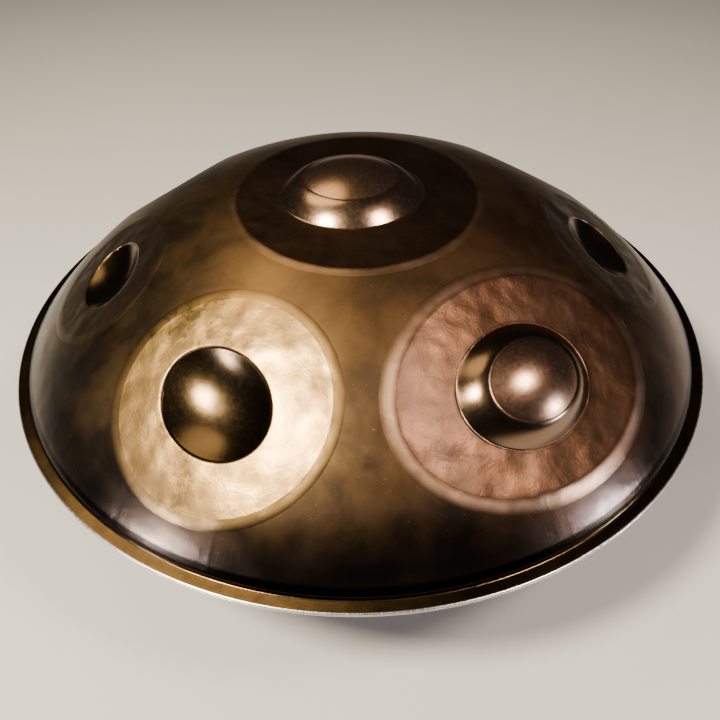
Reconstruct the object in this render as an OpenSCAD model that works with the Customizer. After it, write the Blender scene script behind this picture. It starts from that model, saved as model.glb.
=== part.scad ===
// Handpan: two drawn steel shells glued flange to flange. The top shell carries the tone
// fields, hammered into its own sheet. The bottom shell carries the port.
// Origin: centre of the resting ring under the bottom shell, +Z up. Millimetres.

/* [Body] */
// Outer diameter across the joined flanges
outer_d = 530; // [500:1:560]
// Thickness of the steel sheet
steel_t = 1.2; // [0.9:0.1:1.5]
// Rise of each dome from its upright step to its crown
dome_rise = 115; // [108:1:125]
// Radial width of the flat flange
flange_w = 8.5; // [6:0.5:12]
// Height of the upright step between flange and dome
step_h = 3; // [2:0.5:6]
// Thickness of the glue between the flanges
glue_t = 0.4; // [0.2:0.1:1]

/* [Centre note] */
// Radius of the flattened field round the centre dome
ding_field_r = 92; // [85:1:98]
// Radius of the centre dome at its foot
ding_r = 52; // [40:1:56]
// Height of the centre dome over its field
ding_h = 17; // [10:1:24]

/* [Side notes] */
// Distance of the front side notes from the shell's axis
front_pitch_r = 184; // [180:1:188]
// Distance of the rear side notes from the shell's axis
rear_pitch_r = 192; // [188:1:196]
// Height of the one side dome that stands outwards
side_dome_h = 19; // [12:1:22]
// Depth of the inward bowls, as a share of their radius
bowl_depth_k = 0.31; // [0.2:0.01:0.4]

/* [Port] */
// Radius of the port through the bottom shell
port_r = 45; // [38:1:52]
// Height of the neck that the port's edge is turned into
neck_h = 24; // [12:1:35]
// Radius of the rolled edge between the resting ring and the neck
lip_r = 6; // [4:0.5:9]
// Width of the flat resting ring round the port
rest_w = 7; // [4:0.5:10]

/* [Hidden] */
curve_fn = 180;

// Pieces of one sheet run into each other by this much, a little inside its faces.
join_lap = 0.4;
join_inset = 0.06;

// Plan of both domes: each is part of a sphere, cut off where its upright step starts.
rim_r = outer_d / 2;
foot_r = rim_r - flange_w;
dome_r = (foot_r * foot_r + dome_rise * dome_rise) / (2 * dome_rise);
dome_in_r = dome_r - steel_t;
foot_drop = dome_r - dome_rise;
wall_in_r = sqrt(dome_in_r * dome_in_r - foot_drop * foot_drop);

// Heights, from the resting ring up
rest_r = port_r + lip_r + rest_w;
low_centre_z = sqrt(dome_r * dome_r - rest_r * rest_r);
low_flange_z = low_centre_z - foot_drop + step_h;
glue_z = low_flange_z + steel_t;
top_flange_z = glue_z + glue_t;
top_centre_z = top_flange_z + steel_t + step_h - foot_drop;

// Side notes, from the lowest at the front right round to the smallest at the back:
// azimuth, distance from the axis, field radius, radius of the dome or bowl, height (inwards < 0)
front_dome = [-57, front_pitch_r, 82, 41, side_dome_h];
front_bowl = [-117, front_pitch_r, 73, 35, -35 * bowl_depth_k];
right_bowl = [-2, front_pitch_r, 62, 30, -30 * bowl_depth_k];
left_bowl = [189, front_pitch_r, 60, 29, -29 * bowl_depth_k];
rear_right_bowl = [41, rear_pitch_r, 53, 25, -25 * bowl_depth_k];
rear_left_bowl = [145, rear_pitch_r, 51, 24, -24 * bowl_depth_k];
rear_bowl = [92, rear_pitch_r, 48, 22, -22 * bowl_depth_k];
centre_dome = [0, 0, ding_field_r, ding_r, ding_h];
clear_meridian = 21;        // azimuth that runs from crown to rim between two notes
NOTES = [
    centre_dome, front_dome, front_bowl, right_bowl, left_bowl,
    rear_right_bowl, rear_left_bowl, rear_bowl
];

// Shape of a note across its radius
field_flatness = 0.55;      // rise of a field, as a share of the sphere's own rise there
crease_at = 0.64;           // where a dome's two tiers meet, as a share of its radius
lower_tier = 0.64;          // height of the lower tier, as a share of the dome's height
tier_power = 1.5;
bowl_power = 2.2;
dimple_steps = 12;
field_steps = 5;

function note_tilt(n) = asin(n[1] / dome_r);
function sphere_rise(n) = dome_r - sqrt(dome_r * dome_r - n[2] * n[2]);
function field_z(n, r) = sphere_rise(n) * field_flatness * (1 - pow(r / n[2], 2));
function tiered_z(n, r, crease_r) =
    r < crease_r
        ? n[4] * (lower_tier + (1 - lower_tier) * (1 - pow(r / crease_r, 2)))
        : n[4] * lower_tier * (1 - pow((r - crease_r) / (n[3] - crease_r), tier_power));
function dimple_z(n, r) =
    n[4] > 0 ? tiered_z(n, r, n[3] * crease_at) : n[4] * (1 - pow(r / n[3], bowl_power));
function note_z(n, r) =
    r < n[3] ? field_z(n, n[3]) + dimple_z(n, r) : field_z(n, r);

// Height of the sheet's inner face: the wall is measured square to the surface.
function note_slope(n, r) = (note_z(n, r + 0.5) - note_z(n, abs(r - 0.5))) / (r < 0.5 ? r + 0.5 : 1);
function note_in_z(n, r) =
    note_z(n, r) - steel_t * sqrt(1 + pow(note_slope(n, r), 2));

// Radii of a note's section, from its middle to just inside its edge
function note_radii(n) = [
    for (i = [0:dimple_steps]) n[3] * i / dimple_steps,
    for (i = [1:field_steps - 1]) n[3] + (n[2] - n[3]) * i / field_steps
];

module on_note_axis(n) {
    rotate([0, note_tilt(n), n[0]])
        children();
}

// Room for a note in the dome's wall, from the dome's centre outwards
module note_cut(n) {
    cylinder(h = 2 * dome_r, r = n[2] - join_lap, $fn = curve_fn);
}

module note_patch(n) {
    base_z = sqrt(dome_r * dome_r - n[2] * n[2]);
    base_in_z = sqrt(dome_in_r * dome_in_r - n[2] * n[2]);
    radii = note_radii(n);
    last = len(radii) - 1;
    outer = [for (r = radii) [r, base_z + note_z(n, r)]];
    inner = [for (i = [last:-1:0]) [radii[i], base_z + note_in_z(n, radii[i])]];
    edge = [[n[2], base_z - join_inset], [n[2], base_in_z + join_inset]];
    rotate_extrude($fn = curve_fn)
        polygon(concat(outer, edge, inner));
}

// Hollow sphere above the plane where the upright step starts
module dome_wall() {
    difference() {
        sphere(r = dome_r, $fn = curve_fn);
        sphere(r = dome_in_r, $fn = curve_fn);
        translate([0, 0, foot_drop - 2 * dome_r])
            cylinder(h = 2 * dome_r, r = 2 * dome_r, $fn = curve_fn);
    }
}

// Flat flange and upright step, one sheet thick, with the flange's joint face at z = 0.
// The step narrows where it runs up into the foot of the dome's wall.
module flange_ring() {
    step_out_r = 0.5 * (wall_in_r + foot_r + steel_t);
    step_in_r = step_out_r - steel_t;
    step_top = steel_t + step_h;
    rotate_extrude($fn = curve_fn)
        polygon([
            [step_in_r, 0],
            [rim_r, 0],
            [rim_r, steel_t],
            [step_out_r, steel_t],
            [step_out_r, step_top - join_lap],
            [step_out_r - 2 * join_lap, step_top + join_lap],
            [step_in_r, step_top + join_lap]
        ]);
}

module top_shell() {
    color("saddlebrown") {
        translate([0, 0, top_flange_z])
            flange_ring();
        translate([0, 0, top_centre_z]) {
            difference() {
                rotate([0, 0, clear_meridian])
                    dome_wall();
                for (n = NOTES)
                    on_note_axis(n) note_cut(n);
            }
            for (n = NOTES)
                on_note_axis(n) note_patch(n);
        }
    }
}

// Resting ring, rolled edge and neck, turned up into the shell
module port_neck() {
    lip_c = [port_r + lip_r, lip_r];
    lip_steps = 8;
    low = [for (i = [0:lip_steps]) lip_c + lip_r * [-sin(90 * i / lip_steps), -cos(90 * i / lip_steps)]];
    in_r = lip_r - steel_t;
    high = [for (i = [lip_steps:-1:0]) lip_c + in_r * [-sin(90 * i / lip_steps), -cos(90 * i / lip_steps)]];
    lap_r = rest_r + join_lap;
    lap_low_z = low_centre_z - sqrt(dome_r * dome_r - lap_r * lap_r) + join_inset;
    lap_high_z = low_centre_z - sqrt(dome_in_r * dome_in_r - rest_r * rest_r) - join_inset;
    rotate_extrude($fn = curve_fn)
        polygon(concat(
            [[lap_r, lap_low_z], [rest_r - join_lap, 0]], low,
            [[port_r, neck_h], [port_r + steel_t, neck_h]], high,
            [[lap_r, lap_high_z]]
        ));
}

module bottom_shell() {
    color("peru") {
        translate([0, 0, glue_z])
            mirror([0, 0, 1]) flange_ring();
        difference() {
            translate([0, 0, low_centre_z])
                mirror([0, 0, 1]) dome_wall();
            translate([0, 0, -dome_rise])
                cylinder(h = 2 * dome_rise, r = rest_r, $fn = curve_fn);
        }
        port_neck();
    }
}

module glue_seam() {
    color("dimgray")
        translate([0, 0, glue_z])
            difference() {
                cylinder(h = glue_t, r = rim_r, $fn = curve_fn);
                translate([0, 0, -glue_t])
                    cylinder(h = 3 * glue_t, r = foot_r, $fn = curve_fn);
            }
}

top_shell();
bottom_shell();
glue_seam();
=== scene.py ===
"""Handpan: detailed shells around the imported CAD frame, with a camera and studio lights."""
import math

import bmesh
import bpy
from mathutils import Matrix, Vector


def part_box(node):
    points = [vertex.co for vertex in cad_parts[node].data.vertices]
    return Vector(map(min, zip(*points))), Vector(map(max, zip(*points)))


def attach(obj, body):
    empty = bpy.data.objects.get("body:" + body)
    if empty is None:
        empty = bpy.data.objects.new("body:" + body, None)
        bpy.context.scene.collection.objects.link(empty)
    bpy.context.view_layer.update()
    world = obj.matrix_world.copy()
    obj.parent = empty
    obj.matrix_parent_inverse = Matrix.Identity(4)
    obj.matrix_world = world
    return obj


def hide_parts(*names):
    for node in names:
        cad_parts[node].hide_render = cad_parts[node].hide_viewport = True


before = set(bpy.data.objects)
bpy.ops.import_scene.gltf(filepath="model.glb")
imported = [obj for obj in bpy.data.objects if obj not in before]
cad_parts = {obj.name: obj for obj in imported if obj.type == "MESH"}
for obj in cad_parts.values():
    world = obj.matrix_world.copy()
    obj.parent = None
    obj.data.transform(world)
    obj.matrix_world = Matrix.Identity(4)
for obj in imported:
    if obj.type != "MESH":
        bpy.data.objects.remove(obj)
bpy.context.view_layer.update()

MM = 0.001


# ---------------------------------------------------------------- sizes, in millimetres

RIM_R = 265.0
STEEL = 1.2
FLANGE_W = 8.5
STEP_H = 3.0
DOME_RISE = 115.0
GROUND_W = 1.0            # width of the bare ground corner on each flange
PORT_R = 45.0
LIP_R = 6.0
REST_W = 7.0
NECK_H = 24.0

FOOT_R = RIM_R - FLANGE_W
DOME_R = (FOOT_R ** 2 + DOME_RISE ** 2) / (2 * DOME_RISE)
FOOT_DROP = DOME_R - DOME_RISE
REST_R = PORT_R + LIP_R + REST_W
LOW_JOINT_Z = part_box("bottom_shell")[1].z / MM
TOP_JOINT_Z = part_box("top_shell")[0].z / MM
TOP_FLANGE_Z = TOP_JOINT_Z + STEEL
LOW_FLANGE_Z = LOW_JOINT_Z - STEEL
TOP_CENTRE_Z = TOP_FLANGE_Z + STEP_H - FOOT_DROP
LOW_CENTRE_Z = LOW_FLANGE_Z - STEP_H + FOOT_DROP
TOP_CENTRE = Vector((0, 0, TOP_CENTRE_Z))

STEP_TURN_R = 1.1         # rounding where the dome meets its upright step
STEP_FILLET_R = 1.2       # fillet between the step and the flange
RIM_EASE = 0.12           # the flange's edge is rounded by this much at the seam

SPIN_STEPS = 208          # vertices round each shell
RING_STEP_DEG = 0.95      # spacing of the dome's rings, seen from the sphere's centre
RELAX_ROUNDS = 30


class Note:
    """One tone field with the dome or bowl in its middle.

    Pairs of lengths are along the ring and across it. A height below zero is a bowl, and
    flatten is how far the field's middle lies under the sphere. Of the named values, skew
    turns the dome or bowl and shift moves it off the field's middle; shoulder is the width
    of the field's border and lip_slope how steeply it turns in. The rest are for the
    colour, in turn: hue runs from gold to copper, golden on the left and copper on the
    right, partly patina and partly painted lamp tint; then the painted shade that darkens
    the field, the painted highlight on the dome's lower part, the polish and painted sheen
    of the border, the polish and painted highlight of the dome's top, and the angle where
    the border's painted sheen is strongest.
    """

    def __init__(self, azimuth, pitch_r, field, dimple, height, flatten, **more):
        self.azimuth = math.radians(azimuth)
        self.tilt = math.asin(pitch_r / DOME_R)
        self.field = field
        self.dimple = dimple
        self.mean_r = 0.5 * (dimple[0] + dimple[1])
        self.height = height
        self.flatten = flatten
        self.skew = math.radians(more.get("skew", 0.0))
        self.shift = more.get("shift", (0.0, 0.0))
        self.shoulder = more.get("shoulder", 7.0)
        self.lip_slope = more.get("lip_slope", 0.26)
        self.hue = more.get("hue", 0.5)
        self.painted_shading = more.get("painted_shading", 0.8)
        self.tier = more.get("tier", 0.4)
        self.polish_and_painted_sheen = more.get("polish_and_painted_sheen", 0.12)
        self.cap_polish_and_sheen = more.get("cap_polish_and_sheen", 0.0)
        self.painted_sheen_at = math.radians(more.get("painted_sheen_at", 90))
        self.inner = (field[0] - self.shoulder, field[1] - self.shoulder)
        self.edge_dent = 0.5 * self.lip_slope * self.shoulder
        out = Vector((math.cos(self.azimuth), math.sin(self.azimuth), 0))
        up = Vector((0, 0, 1))
        self.axis = math.sin(self.tilt) * out + math.cos(self.tilt) * up
        self.down = math.cos(self.tilt) * out - math.sin(self.tilt) * up
        self.along = self.axis.cross(self.down)


CENTRE = Note(0, 0, (98, 92), (50.5, 52), 19.5, 10.0, shift=(0, -3.7), hue=0.8, painted_shading=0.85,
              polish_and_painted_sheen=0.3, painted_sheen_at=180, cap_polish_and_sheen=0.8, tier=1.0)
SIDE_NOTES = [
    Note(-55.8, 182, (97.5, 76), (48, 38.5), 19.5, 8.0, shift=(-2, 2.5), shoulder=10,
         lip_slope=0.08, hue=1.0, painted_shading=0.66, polish_and_painted_sheen=1.0, painted_sheen_at=150, cap_polish_and_sheen=0.8,
         tier=0.42),
    Note(-117.3, 184.5, (76.5, 74), (39.3, 32.3), -10.8, 2.4, skew=20, shift=(-3, 1),
         lip_slope=0.14, hue=0.0, painted_shading=0.0, polish_and_painted_sheen=0.9, painted_sheen_at=0),
    Note(-2, 184, (66, 58), (33, 27), -9.5, 3.0, hue=0.8),
    Note(189, 185, (63, 57), (33, 26), -9.5, 3.0, hue=0.2),
    Note(41, 192, (56, 50), (27, 23), -7.8, 2.4, hue=0.7),
    Note(145, 192, (54, 48), (26, 22), -7.4, 2.2, hue=0.3),
    Note(92, 192, (51, 45), (24, 20), -6.8, 2.0, hue=0.5),
]

MASKS = ("field", "dimple", "hue", "painted_shading", "polish_and_painted_sheen")
CREASE_AT = 0.64          # where a dome's two tiers meet, as a share of its radius
LOWER_TIER = 0.64         # height of the lower tier, as a share of the dome's height
TIER_POWER = 1.5
BOWL_POWER = 2.2
EDGE_SOFTNESS = 1.0
FOOT_GAP = 3.0            # the field turns into the dome's or bowl's edge over this much
FIELD_RINGS = 9
RING_W = 2.0              # spacing of the rings inside a dome or bowl
MIN_RINGS = 12
MASK_W = 1.5              # the dimple mask rises over this much
CAP_W = 3.0               # the cap's polish and painted highlight rise over this much
# Polish and painted sheen of each ring of the border, outside in
SHOULDER_POLISH_AND_SHEEN = (0.2, 0.6, 0.9, 1.0, 0.5, 0.0)
# Rings close by the edge of a dome or bowl, and close by a dome's crease
EDGE_RINGS = (-2.0, -1.2, -0.6, -0.2, 0.2, 0.6, 1.1, 1.8, 2.8, 4.2)
CREASE_RINGS = (-1.0, -0.4, 0.0, 0.4, 1.0)
CREASE_CLEAR = 1.4        # no other ring comes closer than this to the crease
SHEEN_POWER = 1.5          # how narrow the polished, painted-sheen part of a border is
LEAST_SHEEN = 0.2


# ---------------------------------------------------------------- mesh helpers

def chain(bm, points):
    """Vertices and edges through (radius, height) points in the XZ plane."""
    verts = [bm.verts.new((r * MM, 0, z * MM)) for r, z in points]
    return verts, [bm.edges.new(pair) for pair in zip(verts, verts[1:])]


def spin_round(bm, verts, edges):
    """A full turn of the profile about the Z axis."""
    bmesh.ops.spin(bm, geom=verts + edges, cent=(0, 0, 0), axis=(0, 0, 1), angle=math.tau,
                   steps=SPIN_STEPS, use_merge=True, use_duplicate=False)


def arc(centre, radius, start_deg, end_deg, count):
    """Points round an arc in the (radius, height) plane."""
    points = []
    for i in range(count + 1):
        a = math.radians(start_deg + (end_deg - start_deg) * i / count)
        points.append((centre[0] + radius * math.cos(a), centre[1] + radius * math.sin(a)))
    return points


def finish_piece(bm, name, materials):
    """The object for a finished bmesh, smooth shaded, riding on the one body."""
    mesh = bpy.data.meshes.new(name)
    bm.to_mesh(mesh)
    bm.free()
    mesh.polygons.foreach_set("use_smooth", [True] * len(mesh.polygons))
    for material in materials:
        mesh.materials.append(material)
    piece = bpy.data.objects.new(name, mesh)
    bpy.context.scene.collection.objects.link(piece)
    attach(piece, "root")
    return piece


# ---------------------------------------------------------------- the notes

def ramp(x, softness):
    """x where x is positive and 0 where it is negative, with the corner rounded."""
    return 0.5 * (x + math.sqrt(x * x + softness * softness))


def dimple_lift(note, inward):
    """Height of the dome or bowl over its field, at a distance inward from its foot."""
    u = max(0.0, 1 - ramp(inward, EDGE_SOFTNESS) / note.mean_r)
    if note.height < 0:
        return note.height * (1 - u ** BOWL_POWER)
    if u < CREASE_AT:
        return note.height * (LOWER_TIER + (1 - LOWER_TIER) * (1 - (u / CREASE_AT) ** 2))
    down = (u - CREASE_AT) / (1 - CREASE_AT)
    return note.height * LOWER_TIER * (1 - down ** TIER_POWER)


def rise(x, width):
    """From 0 to 1 over the given width, half way at x = 0."""
    return min(1.0, max(0.0, 0.5 + x / width))


def dimple_insets(note):
    """Distances of a dome's or bowl's rings, inward from its foot."""
    left = note.mean_r - EDGE_RINGS[-1]
    steps = max(MIN_RINGS, round(left / RING_W))
    insets = list(EDGE_RINGS) + [EDGE_RINGS[-1] + left * i / steps for i in range(1, steps)]
    if note.height > 0:
        crease = note.mean_r * (1 - CREASE_AT)
        insets = [x for x in insets if abs(x - crease) > CREASE_CLEAR]
        insets = sorted(insets + [crease + d for d in CREASE_RINGS])
    return insets


def note_rings(note):
    """Rings from inside the field's border to the middle: (centre shift, half-axes, skew,
    lift over the field, dent under the sphere, field, dimple, polish and painted sheen)."""
    rings = []
    shoulder_rings = len(SHOULDER_POLISH_AND_SHEEN)
    for i, polish_and_painted_sheen in enumerate(SHOULDER_POLISH_AND_SHEEN, 1):
        x = note.shoulder * i / shoulder_rings
        axes = (note.field[0] - x, note.field[1] - x)
        dent = note.lip_slope * x * x / (2 * note.shoulder)
        rings.append(((0, 0), axes, 0, 0, dent, i / shoulder_rings, 0, note.polish_and_painted_sheen * polish_and_painted_sheen))
    foot = [a * (1 + FOOT_GAP / note.mean_r) for a in note.dimple]
    for i in range(1, FIELD_RINGS + 1):
        f = i / FIELD_RINGS
        axes = [a + (b - a) * f for a, b in zip(note.inner, foot)]
        shift = [s * f for s in note.shift]
        lift = dimple_lift(note, -FOOT_GAP) * f
        rings.append((shift, axes, note.skew * f, lift, None, 1, 0, 0))
    for x in dimple_insets(note):
        axes = [a * (1 - x / note.mean_r) for a in note.dimple]
        # Polish and painted highlight of the dome's top
        cap_polish_and_sheen = note.cap_polish_and_sheen * rise(x - note.mean_r * (1 - CREASE_AT), CAP_W)
        rings.append((note.shift, axes, note.skew, dimple_lift(note, x), None, 1,
                      rise(x, MASK_W), cap_polish_and_sheen))
    return rings


def note_point(note, shift, axes, skew, lift, dent, turn):
    """A point on a ring of a note, in metres. A dent of None means the flattened field."""
    a = axes[0] * math.cos(turn)
    b = axes[1] * math.sin(turn)
    u = shift[0] + a * math.cos(skew) - b * math.sin(skew)
    v = shift[1] + a * math.sin(skew) + b * math.cos(skew)
    if dent is None:
        inside = 1 - (u / note.inner[0]) ** 2 - (v / note.inner[1]) ** 2
        dent = note.edge_dent + note.flatten * inside
    height = math.sqrt(DOME_R ** 2 - u * u - v * v) - dent + lift
    return (TOP_CENTRE + height * note.axis + u * note.along + v * note.down) * MM


def angle_round(note, vert):
    p = vert.co / MM - TOP_CENTRE
    return math.atan2(p.dot(note.down), p.dot(note.along))


def cut_hole(bm, note):
    """Cuts the note's round hole out of the dome and returns the border's vertices.

    Only faces of material 0 are cut: the dome's, while the step and flange are marked 1.
    """
    search_depth = 14         # the dome's faces this far under the hole's plane are split
    merge_gap = 1.7
    mean = 0.5 * (note.field[0] + note.field[1])
    level = math.sqrt(DOME_R ** 2 - mean ** 2)
    centre = TOP_CENTRE * MM
    plane = centre + note.axis * level * MM
    near = [f for f in bm.faces if f.material_index == 0
            and (f.calc_center_median() - centre).dot(note.axis) > (level - search_depth) * MM]
    # dict.fromkeys keeps each one once and in a fixed order, which a set would not
    edges = list(dict.fromkeys(e for f in near for e in f.edges))
    verts = list(dict.fromkeys(v for f in near for v in f.verts))
    bmesh.ops.bisect_plane(bm, geom=verts + edges + near, dist=1e-7, plane_co=plane,
                           plane_no=note.axis)
    inside = [f for f in bm.faces if f.material_index == 0
              and (f.calc_center_median() - plane).dot(note.axis) > 1e-7]
    bmesh.ops.delete(bm, geom=inside, context="FACES")
    border = [v for v in bm.verts
              if v.is_boundary and abs((v.co - plane).dot(note.axis)) < 1e-5]
    bmesh.ops.remove_doubles(bm, verts=border, dist=merge_gap * MM)
    return [v for v in border if v.is_valid]


def set_border(note, border):
    """Spaces the border evenly on the field's true outline. Returns it in order, with turns."""
    ring = sorted(border, key=lambda v: angle_round(note, v))
    step = math.tau / len(ring)
    phase = sum(angle_round(note, v) - step * i for i, v in enumerate(ring)) / len(ring)
    turns = [phase + step * i for i in range(len(ring))]
    for vert, turn in zip(ring, turns):
        vert.co = note_point(note, (0, 0), note.field, 0, 0, 0.0, turn)
    return ring, turns


def fill_note(bm, note, ring, turns, masks):
    """Grows the field and its dome or bowl inward from the border, ring by ring."""
    edges = [bm.edges.get((a, b)) for a, b in zip(ring, ring[1:] + ring[:1])]
    for shift, axes, skew, lift, dent, field, dimple, polish_and_painted_sheen in note_rings(note):
        grown = bmesh.ops.extrude_edge_only(bm, edges=edges)["geom"]
        fresh = {g for g in grown if isinstance(g, bmesh.types.BMVert)}
        ring = [next(e.other_vert(v) for e in v.link_edges if e.other_vert(v) in fresh)
                for v in ring]
        edges = [bm.edges.get((a, b)) for a, b in zip(ring, ring[1:] + ring[:1])]
        for vert, turn in zip(ring, turns):
            vert.co = note_point(note, shift, axes, skew, lift, dent, turn)
            vert[masks["field"]] = field
            vert[masks["dimple"]] = dimple
            vert[masks["hue"]] = note.hue
            # The shading mask holds painted shade on the field and the painted highlight level on
            # a dome's or bowl's lower part
            vert[masks["painted_shading"]] = note.tier if dimple else note.painted_shading
            # The border's polish and painted sheen are strongest towards the note's given angle,
            # as a painted highlight
            lit = 0.5 + 0.5 * math.cos(turn - note.painted_sheen_at)
            lit = 1 if dimple else LEAST_SHEEN + (1 - LEAST_SHEEN) * lit ** SHEEN_POWER
            vert[masks["polish_and_painted_sheen"]] = polish_and_painted_sheen * lit
    top = dimple_lift(note, note.mean_r)
    middle = note_point(note, note.shift, (0, 0), 0, top, None, 0)
    bmesh.ops.pointmerge(bm, verts=ring, merge_co=middle)


# ---------------------------------------------------------------- the shells

def dome_points(start_r, centre_z, side):
    """Points down the dome from start_r to the top of its step. side is 1 up, -1 down."""
    start = math.asin(start_r / DOME_R)
    end = math.acos(FOOT_DROP / DOME_R) - math.radians(0.5)
    count = round(math.degrees(end - start) / RING_STEP_DEG)
    angles = [start + (end - start) * i / count for i in range(count + 1)]
    return [(DOME_R * math.sin(a), centre_z + side * DOME_R * math.cos(a)) for a in angles]


def step_points(flange_z, side):
    """Rounded foot of the dome, upright step, fillet and flange, out to the ground corner."""
    foot_z = flange_z + side * STEP_H
    head = arc((FOOT_R - STEP_TURN_R, foot_z - side * 0.6), STEP_TURN_R, side * 38, 0, 5)
    foot = arc((FOOT_R + STEP_FILLET_R, flange_z + side * STEP_FILLET_R), STEP_FILLET_R,
               180, 180 + side * 90, 6)
    flat = [(FOOT_R + 3.2, flange_z), (FOOT_R + 5.4, flange_z), (RIM_R - GROUND_W, flange_z)]
    return head + foot + flat


def ground_corner(flange_z, joint_z, side):
    """The bare corner and edge: (radius, height) from the flange's face to its joint face."""
    return [(RIM_R - 0.45, flange_z - side * 0.16), (RIM_R - RIM_EASE, flange_z - side * 0.4),
            (RIM_R, flange_z - side * 0.7), (RIM_R, joint_z + side * RIM_EASE),
            (RIM_R - RIM_EASE, joint_z)]


def grow_loop(bm, loop, points, material_index):
    """Extrudes a loop round the Z axis through further (radius, height) points."""
    edges = loop
    for r, z in points:
        grown = bmesh.ops.extrude_edge_only(bm, edges=edges)["geom"]
        for g in grown:
            if isinstance(g, bmesh.types.BMVert):
                flat = Vector((g.co.x, g.co.y, 0)).normalized() * r
                g.co = Vector((flat.x, flat.y, z)) * MM
            if isinstance(g, bmesh.types.BMFace):
                g.material_index = material_index
        edges = [g for g in grown if isinstance(g, bmesh.types.BMEdge) and g.is_boundary]
    return edges


def thicken(bm, joint_z, flange_z, side):
    """Adds the sheet's inner face and closes its edges, the flange's with a ground corner."""
    bm.normal_update()
    copied = bmesh.ops.duplicate(bm, geom=bm.verts[:] + bm.edges[:] + bm.faces[:])
    sources = copied["vert_map"]
    parts = {kind: [g for g in copied["geom"] if isinstance(g, kind)]
             for kind in (bmesh.types.BMVert, bmesh.types.BMEdge, bmesh.types.BMFace)}
    moved = [(v, sources[v].co - sources[v].normal * STEEL * MM)
             for v in parts[bmesh.types.BMVert]]
    for vert, place in moved:
        vert.co = place
    bmesh.ops.reverse_faces(bm, faces=parts[bmesh.types.BMFace])
    inner_edges = set(parts[bmesh.types.BMEdge])
    open_edges = [e for e in bm.edges if e.is_boundary]
    at_rim = {e for e in open_edges if e.verts[0].co.xy.length > FOOT_R * MM}
    flange = [e for e in open_edges if e in at_rim and e not in inner_edges]
    under = [e for e in open_edges if e in at_rim and e in inner_edges]
    for vert in {v for e in under for v in e.verts}:
        vert.co.z = joint_z * MM
    edge = grow_loop(bm, flange, ground_corner(flange_z, joint_z, side), 1)
    bmesh.ops.bridge_loops(bm, edges=edge + under)
    neck = [e for e in open_edges if e not in at_rim]
    if neck:
        bmesh.ops.bridge_loops(bm, edges=neck)


def face_outwards(bm, probe, outward):
    """Makes all faces consistent, with the probe vertex's normal pointing outward."""
    bmesh.ops.recalc_face_normals(bm, faces=bm.faces[:])
    bm.normal_update()
    if probe.normal.dot(outward) < 0:
        bmesh.ops.reverse_faces(bm, faces=bm.faces[:])


def build_top_shell():
    bm = bmesh.new()
    masks = {name: bm.verts.layers.float.new(name) for name in MASKS}
    verts, edges = chain(bm, dome_points(CENTRE.field[0], TOP_CENTRE_Z, 1)
                         + step_points(TOP_FLANGE_Z, 1))
    spin_round(bm, verts, edges)
    dome_foot = (TOP_FLANGE_Z + STEP_H + 1) * MM
    for face in bm.faces:
        face.material_index = 0 if face.calc_center_median().z > dome_foot else 1
    # The centre note's hole is the open middle of the profile; the others are cut.
    borders = [(note, cut_hole(bm, note)) for note in SIDE_NOTES]
    top = [v for v in bm.verts if v.is_boundary
           and v.co.xy.length < (CENTRE.field[0] + 1) * MM]
    borders.append((CENTRE, top))
    borders = [(note, *set_border(note, border)) for note, border in borders]
    relax_dome(bm, dome_foot)
    for face in bm.faces:
        face.material_index = 0
    for note, ring, turns in borders:
        fill_note(bm, note, ring, turns, masks)
    crown = max(bm.verts, key=lambda v: v.co.z)
    face_outwards(bm, crown, Vector((0, 0, 1)))
    thicken(bm, TOP_JOINT_Z, TOP_FLANGE_Z, 1)
    return bm


def relax_dome(bm, dome_foot):
    """Evens the dome's mesh between the notes and keeps it on the sphere."""
    free = [v for v in bm.verts if not v.is_boundary and v.co.z > dome_foot + 3 * MM]
    centre = TOP_CENTRE * MM
    for _ in range(RELAX_ROUNDS):
        bmesh.ops.smooth_vert(bm, verts=free, factor=0.5, use_axis_x=True, use_axis_y=True,
                              use_axis_z=True)
        for v in free:
            v.co = centre + (v.co - centre).normalized() * DOME_R * MM


def build_bottom_shell():
    bm = bmesh.new()
    neck = [(PORT_R, NECK_H - 0.4), (PORT_R, 18), (PORT_R, 12)]
    lip = arc((PORT_R + LIP_R, LIP_R), LIP_R, 180, 270, 10)
    ring = [(PORT_R + LIP_R + 2.5, 0), (PORT_R + LIP_R + 5, 0)]
    dome = dome_points(REST_R + 5, LOW_CENTRE_Z, -1)
    verts, edges = chain(bm, neck + lip + ring + dome + step_points(LOW_FLANGE_Z, -1))
    spin_round(bm, verts, edges)
    for name in MASKS:
        bm.verts.layers.float.new(name)
    lowest = max(bm.verts, key=lambda v: -v.co.z)
    face_outwards(bm, lowest, Vector((0, 0, -1)))
    thicken(bm, LOW_JOINT_Z, LOW_FLANGE_Z, -1)
    return bm


def build_glue_line():
    """The glue between the flanges, a hair inside the ground edge."""
    bm = bmesh.new()
    out_r = RIM_R - RIM_EASE
    section = [(FOOT_R, LOW_JOINT_Z), (out_r - 0.1, LOW_JOINT_Z), (out_r, LOW_JOINT_Z + 0.1),
               (out_r, TOP_JOINT_Z - 0.1), (out_r - 0.1, TOP_JOINT_Z), (FOOT_R, TOP_JOINT_Z)]
    verts, edges = chain(bm, section)
    edges.append(bm.edges.new((verts[-1], verts[0])))
    spin_round(bm, verts, edges)
    bmesh.ops.recalc_face_normals(bm, faces=bm.faces[:])
    return bm


# ---------------------------------------------------------------- materials

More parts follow.
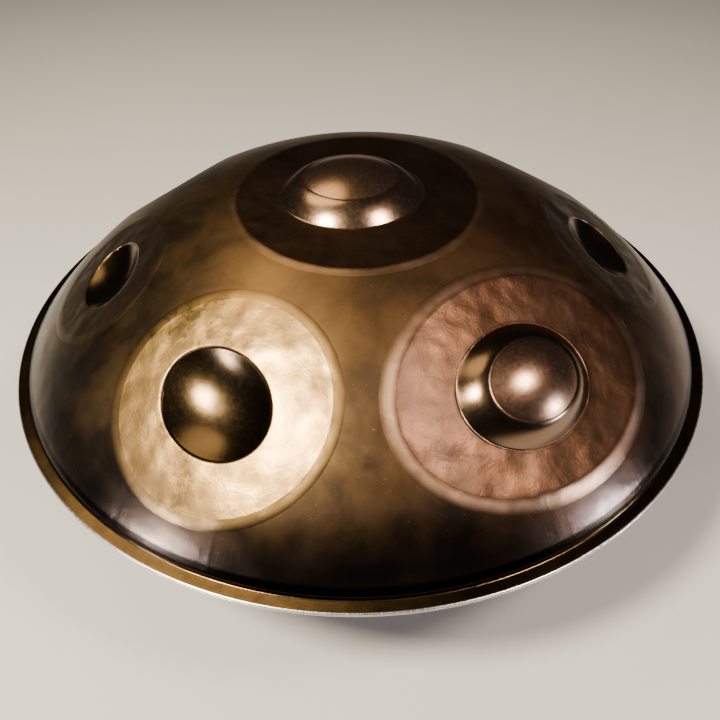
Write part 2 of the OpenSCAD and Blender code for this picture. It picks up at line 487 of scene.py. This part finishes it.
class Nodes:
    """A short hand for building a material's nodes."""

    def __init__(self, name):
        self.material = bpy.data.materials.new(name)
        self.material.use_nodes = True
        self.tree = self.material.node_tree
        self.shader = self.tree.nodes["Principled BSDF"]
        coords = self.tree.nodes.new("ShaderNodeTexCoord")
        self.place = coords.outputs["Object"]

    def add(self, kind, inputs=(), **settings):
        node = self.tree.nodes.new(kind)
        for key, value in settings.items():
            setattr(node, key, value)
        for key, value in dict(inputs).items():
            self.feed(node.inputs[key], value)
        return node

    def feed(self, socket, value):
        if isinstance(value, bpy.types.NodeSocket):
            self.tree.links.new(value, socket)
        else:
            socket.default_value = value

    def math(self, operation, a, b=0.0):
        return self.add("ShaderNodeMath", {0: a, 1: b}, operation=operation).outputs[0]

    def plus(self, a, b):
        return self.math("ADD", a, b)

    def times(self, a, b):
        return self.math("MULTIPLY", a, b)

    def noise(self, scale, detail=3.0, roughness=0.5, distortion=0.0, vector=None):
        node = self.add("ShaderNodeTexNoise",
                        {"Vector": vector or self.place, "Scale": scale, "Detail": detail,
                         "Roughness": roughness, "Distortion": distortion})
        return node.outputs["Fac"]

    def attribute(self, name):
        return self.add("ShaderNodeAttribute", attribute_name=name).outputs["Fac"]

    def spread(self, value, low, high, to_low=0.0, to_high=1.0):
        """value from low..high to to_low..to_high, held at the ends."""
        node = self.add("ShaderNodeMapRange", {0: value, 1: low, 2: high, 3: to_low,
                                               4: to_high})
        return node.outputs[0]

    def mix(self, factor, a, b):
        node = self.add("ShaderNodeMix", data_type="RGBA")
        self.feed(node.inputs[0], factor)
        self.feed(node.inputs[6], a)
        self.feed(node.inputs[7], b)
        return node.outputs[2]

    def blend(self, factor, a, b):
        """mix for plain numbers."""
        node = self.add("ShaderNodeMix", {0: factor, 2: a, 3: b}, data_type="FLOAT")
        return node.outputs[0]

    def from_axis(self):
        """The place seen from above, and its distance from the Z axis."""
        split = self.add("ShaderNodeSeparateXYZ", {0: self.place}).outputs
        flat = self.add("ShaderNodeCombineXYZ", {0: split[0], 1: split[1]}).outputs[0]
        reach = self.add("ShaderNodeVectorMath", {0: flat}, operation="LENGTH").outputs["Value"]
        return flat, reach

    def stretched(self, scale):
        """Object coordinates with each axis scaled, for drawn-out patterns."""
        return self.add("ShaderNodeMapping", {"Vector": self.place, "Scale": scale}).outputs[0]

    def spokes(self, count, along):
        """Coordinates that change fast round the Z axis and slowly away from it."""
        flat, reach = self.from_axis()
        unit = self.add("ShaderNodeVectorMath", {0: flat}, operation="NORMALIZE").outputs[0]
        turn = self.add("ShaderNodeVectorMath", {0: unit, 3: count}, operation="SCALE").outputs[0]
        ends = self.add("ShaderNodeSeparateXYZ", {0: turn}).outputs
        depth = self.times(reach, along)
        return self.add("ShaderNodeCombineXYZ", {0: ends[0], 1: ends[1], 2: depth}).outputs[0]

    def bump(self, height, distance, under=None):
        inputs = {"Height": height, "Distance": distance}
        if under is not None:
            inputs["Normal"] = under
        return self.add("ShaderNodeBump", inputs).outputs[0]


def colour(r, g, b):
    return (r, g, b, 1.0)


def in_from_rim(*lengths):
    """Distances from the Z axis in metres, given inward from the rim in millimetres."""
    return [(RIM_R - x) * MM for x in lengths]


# Where the patina changes towards the rim: from the first distance to the second
BARE_AT = in_from_rim(27.0, 12.0)              # the brown thins to bare grey
GROOVE_SHADE_AT = in_from_rim(12.6, 11.4)             # painted shade in the groove at the dome's foot
FLANGE_AT = in_from_rim(8.8, 8.0)
EDGE_HIGHLIGHT_AT = in_from_rim(2.0, 1.0)          # painted highlight as a bright line along the flange's edge
BRUSHED_AT = in_from_rim(60.0, 20.0)           # brush marks begin
UNBRUSHED_AT = in_from_rim(8.5, 9.5)           # and end where the flange begins
POLISHED_AT = in_from_rim(43.0, 17.0)          # the ground turns glossy

BARE_GREY = colour(0.17, 0.14, 0.13)
BROWN_STAIN = colour(0.21, 0.088, 0.04)
# Painted highlights on the lower tiers, the caps and the borders, and painted shade in the groove
PAINTED_TIER_HIGHLIGHT = colour(0.84, 0.54, 0.35)
PAINTED_CAP_HIGHLIGHT = colour(0.74, 0.44, 0.28)
PAINTED_SHEEN_PINK = colour(1.0, 0.60, 0.38)
PAINTED_GROOVE_SHADE = colour(0.012, 0.008, 0.005)


class Patina(Nodes):
    """Heat-coloured steel: clouded satin fields, smoother ground, polished domes and bowls."""

    def __init__(self, name, dark, olive, gold, copper):
        super().__init__(name)
        self.dark, self.olive, self.gold, self.copper = dark, olive, gold, copper
        self.field, self.dimple, self.hue, self.painted_shading, self.polish_and_painted_sheen = map(self.attribute, MASKS)
        self.x, self.y, _ = self.add("ShaderNodeSeparateXYZ", {0: self.place}).outputs
        self.reach = self.from_axis()[1]
        self.broad = self.noise(13.0, 3.0, 0.55, 0.3)
        self.haze = self.noise(24.0, 4.0, 0.6, 0.4)
        self.cloud = self.noise(30.0, 4.0, 0.55, 0.25)
        self.burn = self.noise(100.0, 5.0, 0.7, 0.4)
        self.grain = self.noise(1500.0, 2.0, 0.6)
        self.feed(self.shader.inputs["Base Color"], self.whole_colour())
        self.feed(self.shader.inputs["Roughness"], self.roughness())
        self.feed(self.shader.inputs["Normal"], self.relief())
        self.shader.inputs["Metallic"].default_value = 1.0
        self.shader.inputs["Coat Weight"].default_value = 0.05
        self.shader.inputs["Coat Roughness"].default_value = 0.2

    def middle(self):
        """Brighter ground, partly patina and partly a painted glow: 1 round the crown and between
        the front notes, 0 towards the rim, sides and back.
        """
        behind = self.spread(self.y, -0.10, 0.06, 0.0, 0.07)
        beside = self.spread(self.math("ABSOLUTE", self.x), 0.12, 0.19, 0.0, 0.05)
        sway = self.times(self.math("SUBTRACT", self.broad, 0.5), 0.2)
        wander = self.plus(self.plus(self.reach, self.plus(behind, beside)), sway)
        return self.math("POWER", self.spread(wander, 0.10, 0.262, 1.0, 0.0), 1.5)

    def ground_colour(self):
        """Between the notes: golden on the left and copper on the right, partly patina and partly
        painted lamp tint; brighter round the crown, partly patina and partly painted glow, and
        dark further out.
        """
        # Partly painted lamp tint: golden on the left, copper on the right
        painted_glow = self.mix(self.spread(self.x, -0.14, 0.14),
                        self.mix(0.32, self.olive, self.gold),
                        self.mix(0.7, self.olive, self.copper))
        clouds = self.times(self.spread(self.cloud, 0.3, 0.7), 0.75)
        hazy = self.times(self.spread(self.haze, 0.38, 0.66), 0.42)
        soot = self.times(self.spread(self.haze, 0.52, 0.32), 0.4)
        bare = self.times(self.spread(self.reach, *BARE_AT), 0.45)
        # Painted glow round the crown, partly patina
        tone = self.mix(self.times(self.middle(), 0.64), self.mix(hazy, self.dark, painted_glow),
                        self.mix(clouds, painted_glow, self.olive))
        tone = self.mix(soot, tone, self.dark)
        return self.mix(bare, tone, BARE_GREY)

    def field_colour(self):
        """Gold or copper by hue, stained in clouds, wipe marks and burnt patches, then darkened
        by painted shade.
        """
        wipe = self.noise(1.0, 3.0, 0.55, 0.4, self.stretched((95.0, 34.0, 60.0)))
        stain = self.plus(self.times(self.spread(self.cloud, 0.38, 0.6), 0.85),
                          self.times(self.spread(wipe, 0.45, 0.72), 0.12))
        stained = self.mix(self.hue, self.mix(0.85, self.gold, self.olive), BROWN_STAIN)
        patch = self.times(self.spread(self.burn, 0.47, 0.6), self.spread(self.broad, 0.46, 0.58))
        tone = self.mix(stain, self.mix(self.hue, self.gold, self.copper), stained)
        tone = self.mix(self.times(patch, 0.7), tone, self.mix(0.6, self.olive, self.dark))
        # Painted shade darkens the field
        return self.mix(self.painted_shading, tone, self.dark)

    def dimple_colour(self):
        """Domes and bowls brightened by a painted highlight, with the domes' caps polished and
        painted brighter still as a painted highlight.
        """
        # Painted highlight on the lower tier, brighter as the tier value rises
        lit_tier = self.mix(self.math("POWER", self.painted_shading, 1.6), self.dark, PAINTED_TIER_HIGHLIGHT)
        tier = self.mix(self.hue, self.mix(0.5, self.dark, self.olive), lit_tier)
        clouds = self.times(self.spread(self.cloud, 0.35, 0.65), 0.35)
        # Painted highlight on the polished cap
        cap_polish_and_sheen = self.mix(self.times(self.cloud, 0.4), PAINTED_CAP_HIGHLIGHT, self.copper)
        return self.mix(self.polish_and_painted_sheen, self.mix(clouds, tier, self.olive), cap_polish_and_sheen)

    def whole_colour(self):
        flange = self.mix(self.spread(self.burn, 0.4, 0.65),
                          self.mix(0.55, self.dark, self.olive), self.olive)
        # Painted sheen on the borders and caps
        painted_sheen = self.times(self.polish_and_painted_sheen, self.spread(self.cloud, 0.3, 0.6, 0.5, 1.0))
        speckle = self.spread(self.noise(900.0, 0.0), 0.83, 0.89, 0.0, 0.5)
        grime = self.times(self.spread(self.grain, 0.35, 0.7), 0.15)
        face = self.mix(self.field, self.ground_colour(), self.field_colour())
        face = self.mix(painted_sheen, face, self.mix(self.hue, self.gold, PAINTED_SHEEN_PINK))
        # Painted shade in the groove at the dome's foot
        face = self.mix(self.spread(self.reach, *GROOVE_SHADE_AT), face, PAINTED_GROOVE_SHADE)
        face = self.mix(self.spread(self.reach, *FLANGE_AT), face, flange)
        # Painted highlight along the flange's edge
        face = self.mix(self.spread(self.reach, *EDGE_HIGHLIGHT_AT), face,
                        self.mix(0.3, self.olive, self.gold))
        face = self.mix(self.dimple, face, self.dimple_colour())
        face = self.mix(grime, face, self.dark)
        return self.mix(speckle, face, self.gold)

    def roughness(self):
        """Satin fields, smoother ground that turns glossy at the rim, polished dimples."""
        fine = self.noise(380.0, 3.0, 0.7)
        ground = self.plus(self.spread(self.cloud, 0.3, 0.7, 0.18, 0.24),
                           self.spread(self.reach, *POLISHED_AT, 0.18, 0.0))
        satin = self.spread(self.cloud, 0.3, 0.7, 0.31, 0.42)
        polish = self.plus(self.spread(fine, 0.3, 0.7, 0.17, 0.23),
                           self.plus(self.times(self.polish_and_painted_sheen, 0.07), -0.01))
        return self.blend(self.dimple, self.blend(self.field, ground, satin), polish)

    def relief(self):
        """Hammer marks and burnt texture on the fields, brush marks by the rim, fine grain."""
        hammer = self.noise(38.0, 1.5, 0.5)
        brushed = self.noise(1.0, 2.0, 0.6, 0.0, self.spokes(420.0, 9.0))
        near_rim = self.times(self.spread(self.reach, *BRUSHED_AT),
                              self.spread(self.reach, *UNBRUSHED_AT))
        plain = self.math("SUBTRACT", 1.0, self.times(self.dimple, 0.95))
        hammered = self.times(self.times(hammer, plain),
                              self.spread(self.field, 0.0, 1.0, 0.22, 1.0))
        normal = self.bump(hammered, 0.0021)
        burnt = self.times(self.times(self.burn, self.field), plain)
        normal = self.bump(burnt, 0.00028, under=normal)
        normal = self.bump(self.times(brushed, near_rim), 0.00007, under=normal)
        return self.bump(self.grain, 0.00004, under=normal)


def ground_steel(name):
    """Bare steel where the flange's edge was ground flush."""
    n = Nodes(name)
    lines = n.noise(1.0, 2.0, 0.6, 0.0, n.spokes(700.0, 30.0))
    tone = n.mix(n.spread(lines, 0.3, 0.7), colour(0.62, 0.62, 0.64), colour(0.86, 0.86, 0.88))
    n.feed(n.shader.inputs["Base Color"], tone)
    n.shader.inputs["Metallic"].default_value = 1.0
    n.feed(n.shader.inputs["Roughness"], n.spread(lines, 0.3, 0.7, 0.2, 0.34))
    n.feed(n.shader.inputs["Normal"], n.bump(lines, 0.00003))
    return n.material


def cured_glue(name):
    """Dark adhesive with faint blots."""
    n = Nodes(name)
    blots = n.noise(240.0, 3.0)
    tone = n.mix(blots, colour(0.05, 0.045, 0.04), colour(0.12, 0.1, 0.085))
    n.feed(n.shader.inputs["Base Color"], tone)
    n.feed(n.shader.inputs["Roughness"], n.spread(blots, 0.3, 0.7, 0.4, 0.6))
    n.feed(n.shader.inputs["Normal"], n.bump(blots, 0.00005))
    return n.material


# ---------------------------------------------------------------- the pieces

top_patina = Patina("bronzed_steel", dark=colour(0.050, 0.035, 0.025),
                    olive=colour(0.19, 0.12, 0.05), gold=colour(0.72, 0.43, 0.15),
                    copper=colour(0.40, 0.165, 0.075)).material
low_patina = Patina("browned_steel", dark=colour(0.11, 0.065, 0.036),
                    olive=colour(0.23, 0.15, 0.07), gold=colour(0.36, 0.24, 0.12),
                    copper=colour(0.30, 0.17, 0.10)).material
bare_steel = ground_steel("ground_edge_steel")

top = finish_piece(build_top_shell(), "drawn_top_shell", [top_patina, bare_steel])
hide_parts("top_shell")

bottom = finish_piece(build_bottom_shell(), "drawn_bottom_shell", [low_patina, bare_steel])
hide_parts("bottom_shell")

glue = finish_piece(build_glue_line(), "flange_glue_line", [cured_glue("cured_glue")])
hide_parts("glue_seam")


# ---------------------------------------------------------------- floor, lights and camera

AIM = Vector((0, 0, 0.5 * (LOW_JOINT_Z + TOP_JOINT_Z) * MM))
FLOOR_HALF = 4.0
WORLD_TONE = (0.016, 0.016, 0.018, 1)


def pale_floor():
    """The plain floor that the instrument rests on."""
    bm = bmesh.new()
    bmesh.ops.create_grid(bm, x_segments=2, y_segments=2, size=FLOOR_HALF)
    mesh = bpy.data.meshes.new("floor")
    bm.to_mesh(mesh)
    bm.free()
    n = Nodes("pale_floor")
    n.feed(n.shader.inputs["Base Color"],
           n.mix(n.noise(3.0), colour(0.70, 0.69, 0.67), colour(0.76, 0.75, 0.73)))
    n.shader.inputs["Roughness"].default_value = 0.7
    mesh.materials.append(n.material)
    floor = bpy.data.objects.new("floor", mesh)
    bpy.context.scene.collection.objects.link(floor)


def softbox(name, direction, distance, size, power, tint):
    """An oval lamp that faces the instrument from the given direction."""
    lamp = bpy.data.lights.new(name, "AREA")
    lamp.shape = "ELLIPSE"
    lamp.size, lamp.size_y = size
    lamp.energy = power
    lamp.color = tint
    holder = bpy.data.objects.new(name, lamp)
    direction = Vector(direction).normalized()
    holder.matrix_world = (Matrix.Translation(AIM + direction * distance)
                           @ direction.to_track_quat("Z", "Y").to_matrix().to_4x4())
    bpy.context.scene.collection.objects.link(holder)


def add_camera(elevation_deg, roll_deg, back, up, lens):
    """Camera on the player's side, back from and up over the seam, looking down."""
    e = math.radians(elevation_deg)
    forward = Vector((0, math.cos(e), -math.sin(e)))
    turn = Matrix.Rotation(math.radians(roll_deg), 4, forward)
    right = (turn @ Vector((1, 0, 0))).normalized()
    upward = right.cross(forward)
    data = bpy.data.cameras.new("camera")
    data.sensor_width = 36.0
    data.lens = lens
    data.clip_start = 0.01
    camera = bpy.data.objects.new("camera", data)
    axes = Matrix((right, upward, -forward)).transposed().to_4x4()
    camera.matrix_world = Matrix.Translation(AIM + Vector((0, -back, up))) @ axes
    bpy.context.scene.collection.objects.link(camera)
    bpy.context.scene.camera = camera


pale_floor()
softbox("left_lamp", (-0.46, -0.37, 0.80), 1.5, (0.3, 0.3), 42, (1.0, 0.89, 0.66))
softbox("right_lamp", (0.485, -0.295, 0.82), 1.5, (0.3, 0.3), 13, (1.0, 0.82, 0.70))
softbox("top_lamp", (-0.36, 0.28, 0.89), 1.5, (0.8, 0.8), 4.2, (1.0, 0.78, 0.46))
softbox("left_strip", (-0.79, -0.585, 0.19), 1.3, (0.16, 0.05), 5, (0.92, 0.90, 1.0))
softbox("right_strip", (0.895, -0.42, 0.14), 1.3, (0.14, 0.05), 4.5, (0.90, 0.88, 1.0))

world = bpy.data.worlds.new("studio")
world.use_nodes = True
world.node_tree.nodes["Background"].inputs["Color"].default_value = WORLD_TONE
world.node_tree.nodes["Background"].inputs["Strength"].default_value = 1.0
bpy.context.scene.world = world

add_camera(elevation_deg=42.8, roll_deg=1.3, back=0.446, up=0.357, lens=34.6)
